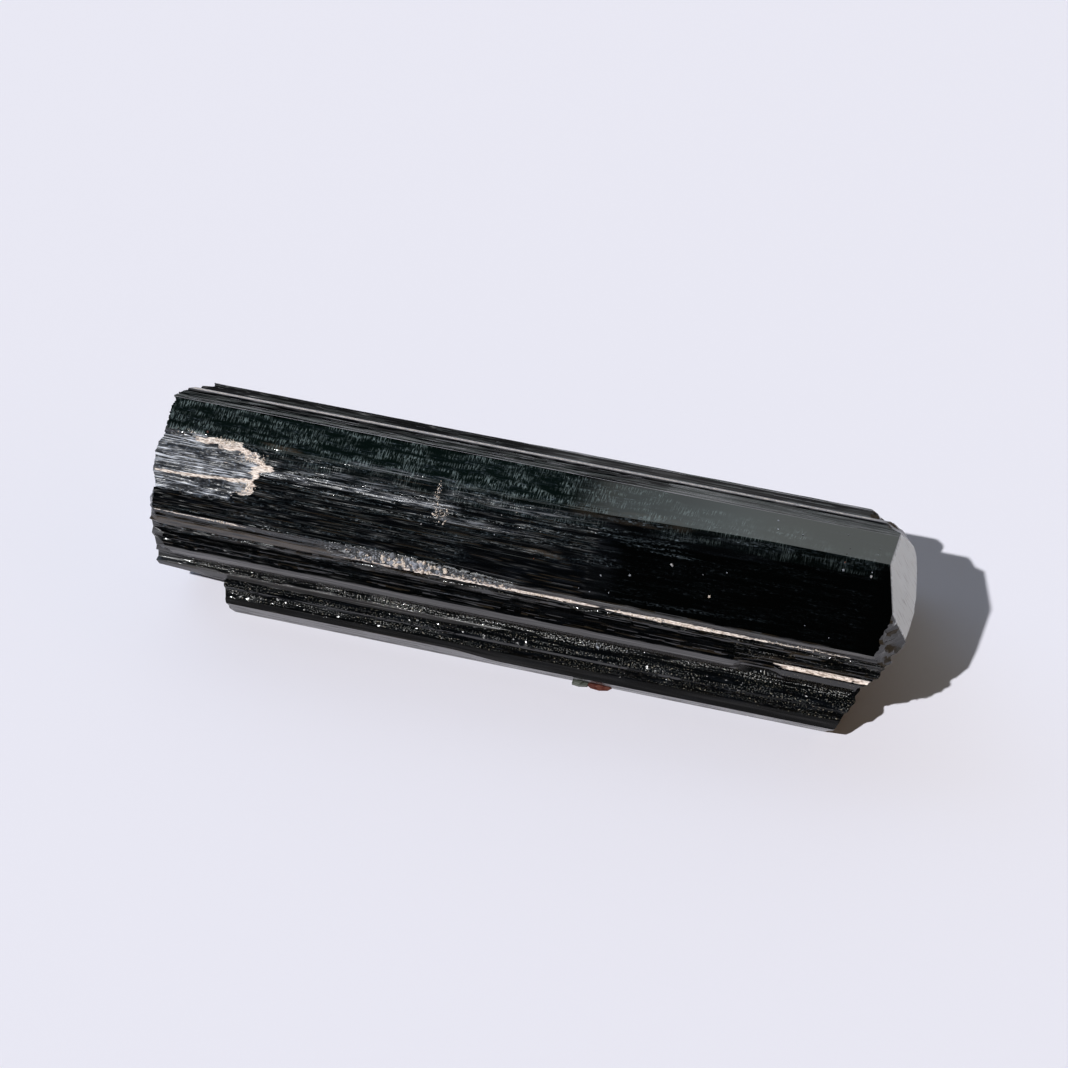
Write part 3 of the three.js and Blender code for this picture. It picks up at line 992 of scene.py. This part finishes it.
# The pitted band is rough and dusty, and mirrors much less than a clean face
pitted = tourmaline.copy()
pitted.name = "pitted tourmaline"
pitted_shader = pitted.node_tree.nodes["Principled BSDF"]
pitted_shader.inputs["Specular IOR Level"].default_value = PITTED_SPECULAR
front_prism.data.materials.append(pitted)
pitting = stored_numbers(front_prism, "pits")
for face in front_prism.data.polygons:
    face.material_index = int(pitting[list(face.vertices)].mean() > 0.5)
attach(front_prism, "root")
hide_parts("tourmaline_crystal")


# ---------------------------------------------------------------------------
# Rear prism
# A lower crystal grown along the back of the main one. Only its ribbed crest shows from the
# front; a thin splinter of it runs on past the left end and the right end is chipped.

REAR_SECTION = [
    (11.5, 0, 11.5, 0, HIDDEN), (11.5, 7.9, 11.5, 7.9, HIDDEN), (15.15, 8.35, 15.15, 8.35, VISIBLE),
    (15.5, 8.72, 15.5, 8.62, VISIBLE), (15.75, 8.45, 15.85, 8.45, VISIBLE),
    (16.1, 8.55, 16.05, 8.55, VISIBLE), (16.3, 8.25, 16.4, 8.33, VISIBLE),
    (16.75, 8.32, 16.55, 8.4, VISIBLE), (17, 8.05, 17.05, 8.1, VISIBLE),
    (17.6, 7.2, 17.6, 7.2, HALF_HIDDEN), (18.55, 5.4, 18.55, 5.4, HALF_HIDDEN),
    (18.3, 2.4, 18.3, 2.4, HALF_HIDDEN), (16.4, 0, 16.4, 0, HIDDEN),
]
REAR_LEFT_RIM = [
    (-10, 1.6), (0, 1.4), (0.05, 0.5), (1.1, 0.6), (1.15, 1.4), (3, 1.4), (6, 1.9), (9, 2.6), (14, 3.4),
]
REAR_MORPH = [(-20, 26, 32), (40, 26, 32)]
REAR_END = 57.5
REAR_STATIONS = np.linspace(0, 57, 120)


def rear_end(y, z):
    """The right end, with its upper edge chipped and its back corner bevelled."""
    chip = 56.6 - 0.9 * (z - 8.3) + 0.3 * smooth_noise(y / 0.4, z / 0.5, 72)
    chip = np.minimum(chip, 57.6 - 1.5 * np.maximum(y + 0.76 * z - 22.3, 0))
    return np.minimum(REAR_END - 0.08 * np.abs(z - 5) + 0.2 * smooth_noise(y / 1.1, z / 1.3, 73), chip)


rear_seed, rear_own = crystal_mesh(
    "rear_seed", REAR_SECTION, 2, REAR_STATIONS, REAR_MORPH,
    lambda around: rim_x(REAR_LEFT_RIM, around) + 0.12 * smooth_noise(around / 0.3, 0.5, 71),
    rear_end, lambda x, around: np.zeros(x.shape),
    (
        (lambda y, z: 2.0 + 0.45 * smooth_noise(y / 0.9, z / 0.8, 74), 0.3, [], 75),
        (rear_end, 0.3, [], 76),
    ),
)
x, y, z = rear_own.T
around = stored_numbers(rear_seed, "around")
on_cap = around == ON_A_CAP
paint(
    rear_seed,
    dull=np.full(len(rear_own), 0.5),
    # painted highlight on the ends and on the crest, stronger to the right
    film=np.where(on_cap, 0.1, soft_band(around, 0, 2, 0.1) * (0.15 + 0.35 * soft_step(x, 26, 32))),
    grooving=soft_band(around, -0.2, 2.4, 0.1) * 0.38 + soft_band(around, 2.6, 30, 0.3) * 0.4,
)
rear_prism = grown(
    rear_seed, "rear_prism", 14, rib_pitch=0.5, rib_depth=0.16, line_pitch=0.12, line_depth=0.12, seed=40.0,
)
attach(rear_prism, "root")
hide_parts("tourmaline_crystal")


# ---------------------------------------------------------------------------
# Mineral crust
# Grains of pale feldspar, clay and rusty dirt that stuck to the tourmaline as it grew: a lumpy
# slab along the groove under the broad face, lines round the hollow and single grains.

# Clusters as (from x, to x, from, to round the section, how many, smallest, largest, tint); a
# tint is 0 for cream, 0.8 for grey, 1.3 for black and 2 for rusty
CRUST_CLUSTERS = [
    (17.2, 20.5, -1.4, -0.2, 130, 0.03, 0.13, 0.7), (20, 26, -1.35, 0.1, 560, 0.03, 0.26, 0.5),
    (26, 30.8, -1.35, -0.3, 240, 0.03, 0.13, 0.5), (20.8, 23.2, -0.9, 0.1, 110, 0.05, 0.18, 1.4),
    (29, 38, -1.52, -1.08, 150, 0.02, 0.07, -0.4), (39, 49, -1.72, -1.15, 190, 0.02, 0.1, -0.3),
    (49, 58.5, -1.7, -1.1, 130, 0.02, 0.07, 0.2), (52.8, 59.6, -4, -3.62, 140, 0.02, 0.07, -0.6),
    (4.7, 6.9, 6, 6.8, 120, 0.03, 0.08, 0), (6.8, 9.6, 5, 6.1, 130, 0.03, 0.09, 0),
    (7.4, 9.2, 2.4, 3.7, 90, 0.03, 0.08, 0), (5.6, 8.2, -0.4, -0.05, 70, 0.03, 0.08, 0.2),
    (23.3, 23.9, 4.2, 6.7, 80, 0.02, 0.07, 0.1), (23.4, 24.9, 3.2, 4.8, 95, 0.02, 0.08, 0),
    (1, 4.4, 6.2, 7, 60, 0.02, 0.07, 0.5), (36, 41, -6.2, -5.6, 60, 0.03, 0.09, 1.3),
]
# Single grains as (x, distance round, radius, tint)
SINGLE_GRAINS = [
    (30.1, 5.29, 0.06, 0.5), (29, 4.87, 0.05, 0.6), (28.8, 3.22, 0.07, 0.9), (22.9, 2.9, 0.06, 0.6),
    (37.8, 1.78, 0.08, 0.8), (38.7, 0.75, 0.06, 0.8), (36.3, 0.64, 0.05, 0.8), (37.2, 0.55, 0.05, 0.8),
    (43.05, 3.43, 0.13, 0.6), (46.45, 1.78, 0.13, 0.2), (47.4, 3.64, 0.06, 0.9), (54.2, 1.16, 0.05, 0.8),
    (56.2, 0.64, 0.05, 0.8), (50, 8.9, 0.1, 1), (50.3, 7.9, 0.07, 0.8), (52.3, 7.8, 0.07, 0.8),
    (55.6, 8.8, 0.06, 0.8), (40, 2.2, 0.09, 1), (45.6, 3.2, 0.05, 1), (4.2, 6.95, 0.1, 2),
    (32.3, 2, 0.06, 2), (56.2, 5.9, 0.08, 1.7), (56.2, 5.35, 0.12, 0.8), (58.4, 5.3, 0.1, 0.6),
    (58.4, 5.6, 0.05, 0.8), (56.15, 6.6, 0.05, 1.6), (56.2, 7.3, 0.05, 1.5), (58.4, 6.5, 0.04, 0.8),
    (58.45, 7.2, 0.04, 0.8), (58.4, 7.9, 0.04, 0.8),
]
GRAIN_SEED = 7
GRAIN_ROUGHNESS = 0.6
GRAIN_CREAM = (0.74, 0.64, 0.55, 1)
GRAIN_GREY = (0.30, 0.32, 0.37, 1)
GRAIN_BLACK = (0.045, 0.050, 0.056, 1)
GRAIN_RUSTY = (0.16, 0.055, 0.035, 1)


def place_on(piece, x, around):
    """The nearest points of a grown piece to places given along and round it."""
    points = np.zeros(len(piece.data.vertices) * 3)
    piece.data.vertices.foreach_get("co", points)
    points = points.reshape(-1, 3)
    own_x = (points[:, 0] - LEFT_TIP) / MM
    distances = stored_numbers(piece, "around")
    found = []
    for here_x, here_around in zip(x, around):
        off = np.abs(own_x - here_x) * 0.2 + np.abs(distances - here_around)
        found.append(points[np.argmin(off)])
    found = np.array(found)
    found[:, 0] = LEFT_TIP + np.asarray(x) * MM
    return found


def grain_tree():
    """Geometry Nodes: puts an angular or a rounded grain on every point, turned at random."""
    inputs = [("Geometry", "Geometry"), ("Flatness", "Float"), ("Seed", "Int"), ("Material", "Material")]
    tree, given = new_group("grains", "GeometryNodeTree", inputs, ("Geometry", "Geometry"))
    angular = add_node(tree, "GeometryNodeMeshCube", {"Size": (1.5, 1.3, 1.1)}).outputs[0]
    rounded = add_node(tree, "GeometryNodeMeshIcoSphere", {"Radius": 1.0, "Subdivisions": 2}).outputs[0]
    kinds = tree.nodes.new("GeometryNodeGeometryToInstance")
    tree.links.new(rounded, kinds.inputs[0])
    tree.links.new(angular, kinds.inputs[0])
    turns = {"Min": (0, 0, 0), "Max": (6.28, 6.28, 6.28), "Seed": given["Seed"]}
    turn = add_node(tree, "FunctionNodeRandomValue", turns, data_type="FLOAT_VECTOR").outputs[0]
    uneven = add_node(tree, "ShaderNodeCombineXYZ", {0: 1.25, 1: 1.0, 2: given["Flatness"]}).outputs[0]
    scale = {0: uneven, "Scale": stored(tree, "size")}
    scale = add_node(tree, "ShaderNodeVectorMath", scale, operation="SCALE").outputs[0]
    placed = add_node(tree, "GeometryNodeInstanceOnPoints", {
        "Points": given["Geometry"], "Instance": kinds.outputs[0], "Pick Instance": True,
        "Instance Index": stored(tree, "shape", "INT"), "Rotation": turn, "Scale": scale,
    }).outputs[0]
    end_tree(tree, placed, given["Material"])
    return tree


def crust_material():
    """Powdery grains: cream where the number tint is 0, grey at 0.8, black at 1.3, rusty at 2."""
    material, tree, shader = new_material("mineral crust")
    tint = add_node(tree, "ShaderNodeAttribute", attribute_name="tint").outputs["Fac"]
    colour = blend_colour(tree, ramp(tree, tint, 0.25, 0.75), GRAIN_CREAM, GRAIN_GREY)
    colour = blend_colour(tree, ramp(tree, tint, 0.95, 1.25), colour, GRAIN_BLACK)
    colour = blend_colour(tree, ramp(tree, tint, 1.5, 1.8), colour, GRAIN_RUSTY)
    place = add_node(tree, "ShaderNodeTexCoord").outputs["Object"]
    speckle = {"Vector": place, "Scale": 9000.0, "Detail": 2.0}
    speckle = add_node(tree, "ShaderNodeTexNoise", speckle).outputs[0]
    dark = add_node(tree, "ShaderNodeVectorMath", {0: colour, "Scale": 0.55}, operation="SCALE").outputs[0]
    colour = blend_colour(tree, ramp(tree, speckle, 0.40, 0.60), dark, colour)
    tree.links.new(colour, shader.inputs["Base Color"])
    shader.inputs["Roughness"].default_value = GRAIN_ROUGHNESS
    return material


random = np.random.default_rng(GRAIN_SEED)
grain_x, grain_around, grain_size, grain_tint = [], [], [], []
for from_x, to_x, low, high, count, smallest, largest, tint in CRUST_CLUSTERS:
    grain_x += list(random.triangular(from_x, (from_x + to_x) / 2, to_x, count))
    grain_around += list(random.triangular(low, (low + high) / 2, high, count))
    grain_size += list(smallest + (largest - smallest) * random.random(count) ** 3)
    grain_tint += list(np.clip(tint + random.uniform(-0.7, 0.9, count), 0, 1.45))
clustered = len(grain_x)
for numbers, single in zip((grain_x, grain_around, grain_size, grain_tint), zip(*SINGLE_GRAINS)):
    numbers += single
grain_mesh = bpy.data.meshes.new("grain places")
grain_mesh.from_pydata(place_on(main_prism, grain_x, grain_around).tolist(), [], [])
write_numbers(grain_mesh, "size", np.array(grain_size) * MM)
write_numbers(grain_mesh, "tint", grain_tint)
shapes = grain_mesh.attributes.new("shape", "INT", "POINT")
is_angular = (random.random(len(grain_x)) < 0.6) & (np.arange(len(grain_x)) < clustered)
shapes.data.foreach_set("value", is_angular.astype(np.int32))
mineral_crust = run_tree(
    add_object("grain places", grain_mesh), grain_tree(), "mineral_crust", flatness=0.7,
    seed=GRAIN_SEED, material=crust_material(),
)
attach(mineral_crust, "root")
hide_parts("tourmaline_crystal")


# ---------------------------------------------------------------------------
# Mica flake
# A few thin leaves of red-brown mica and a chip of glassy grey mineral, caught under the foot of
# the front prism.

MICA_MIDDLE = (38.4, -0.02, 0.02)
MICA_LEAVES = 5
MICA_LEAF = 0.05
MICA_DARK = (0.085, 0.022, 0.016, 1)
MICA_LIGHT = (0.16, 0.060, 0.045, 1)
MICA_ROUGHNESS = 0.35
GLASSY_GREY = (0.085, 0.095, 0.080, 1)
GLASSY_ROUGHNESS = 0.18
# The glassy chip, as leaves of (x, y, z, length, width, thickness, turn)
CHIP_LEAVES = [
    (37, -0.1, 0, 1.7, 1.1, 0.22, 0.2), (36.9, -0.05, 0.22, 1.2, 0.9, 0.2, 0.5),
    (37.1, 0.05, 0.42, 0.8, 0.7, 0.16, 0.1),
]


def leaf(middle, length, width, thick, turn, sides, seed):
    """One flat leaf with an uneven outline: its points and its faces."""
    uneven = np.random.default_rng(seed).uniform(0.72, 1.0, sides)
    angle = np.arange(sides) * 2 * math.pi / sides
    x = np.cos(angle) * uneven * length / 2
    y = np.sin(angle) * uneven * width / 2
    places = np.stack([
        middle[0] + x * math.cos(turn) - y * math.sin(turn),
        middle[1] + x * math.sin(turn) + y * math.cos(turn),
        np.full(sides, middle[2]),
    ], 1)
    points = np.concatenate([places, places + np.array([0, 0, thick])])
    faces = [list(range(sides))[::-1], list(range(sides, 2 * sides))]
    faces += [[k, (k + 1) % sides, (k + 1) % sides + sides, k + sides] for k in range(sides)]
    return points, faces


def plain_piece(name, parts, material):
    """One mesh of several closed lumps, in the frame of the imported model."""
    points, faces, total = [], [], 0
    for part_points, part_faces in parts:
        points += in_place(part_points).tolist()
        faces += [[k + total for k in face] for face in part_faces]
        total += len(part_points)
    mesh = bpy.data.meshes.new(name)
    mesh.from_pydata(points, [], faces)
    mesh.materials.append(material)
    return add_object(name, mesh)


def mica_material():
    """Red-brown mica, clouded darker and lighter."""
    material, tree, shader = new_material("mica")
    place = add_node(tree, "ShaderNodeTexCoord").outputs["Object"]
    cloud = {"Vector": place, "Scale": 2200.0, "Detail": 3.0}
    cloud = add_node(tree, "ShaderNodeTexNoise", cloud).outputs[0]
    colour = blend_colour(tree, ramp(tree, cloud, 0.42, 0.62), MICA_DARK, MICA_LIGHT)
    tree.links.new(colour, shader.inputs["Base Color"])
    shader.inputs["Roughness"].default_value = MICA_ROUGHNESS
    return material


leaves = []
for number in range(MICA_LEAVES):
    share = number / (MICA_LEAVES - 1)
    middle = np.array(MICA_MIDDLE) + (0.2 * share, 0.25 * share, number * MICA_LEAF)
    leaves.append(leaf(middle, 2.4 - 0.6 * share, 1.1, MICA_LEAF * 0.9, 0.1 * number, 9, 80 + number))
mica_flake = plain_piece("mica_flake", leaves, mica_material())
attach(mica_flake, "root")
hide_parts("tourmaline_crystal")

glassy, _, glassy_shader = new_material("glassy chip")
glassy_shader.inputs["Base Color"].default_value = GLASSY_GREY
glassy_shader.inputs["Roughness"].default_value = GLASSY_ROUGHNESS
chips = [
    leaf((x, y, z), length, width, thick, turn, 7, 90 + number)
    for number, (x, y, z, length, width, thick, turn) in enumerate(CHIP_LEAVES)
]
glassy_chip = plain_piece("glassy_chip", chips, glassy)
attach(glassy_chip, "root")
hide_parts("tourmaline_crystal")
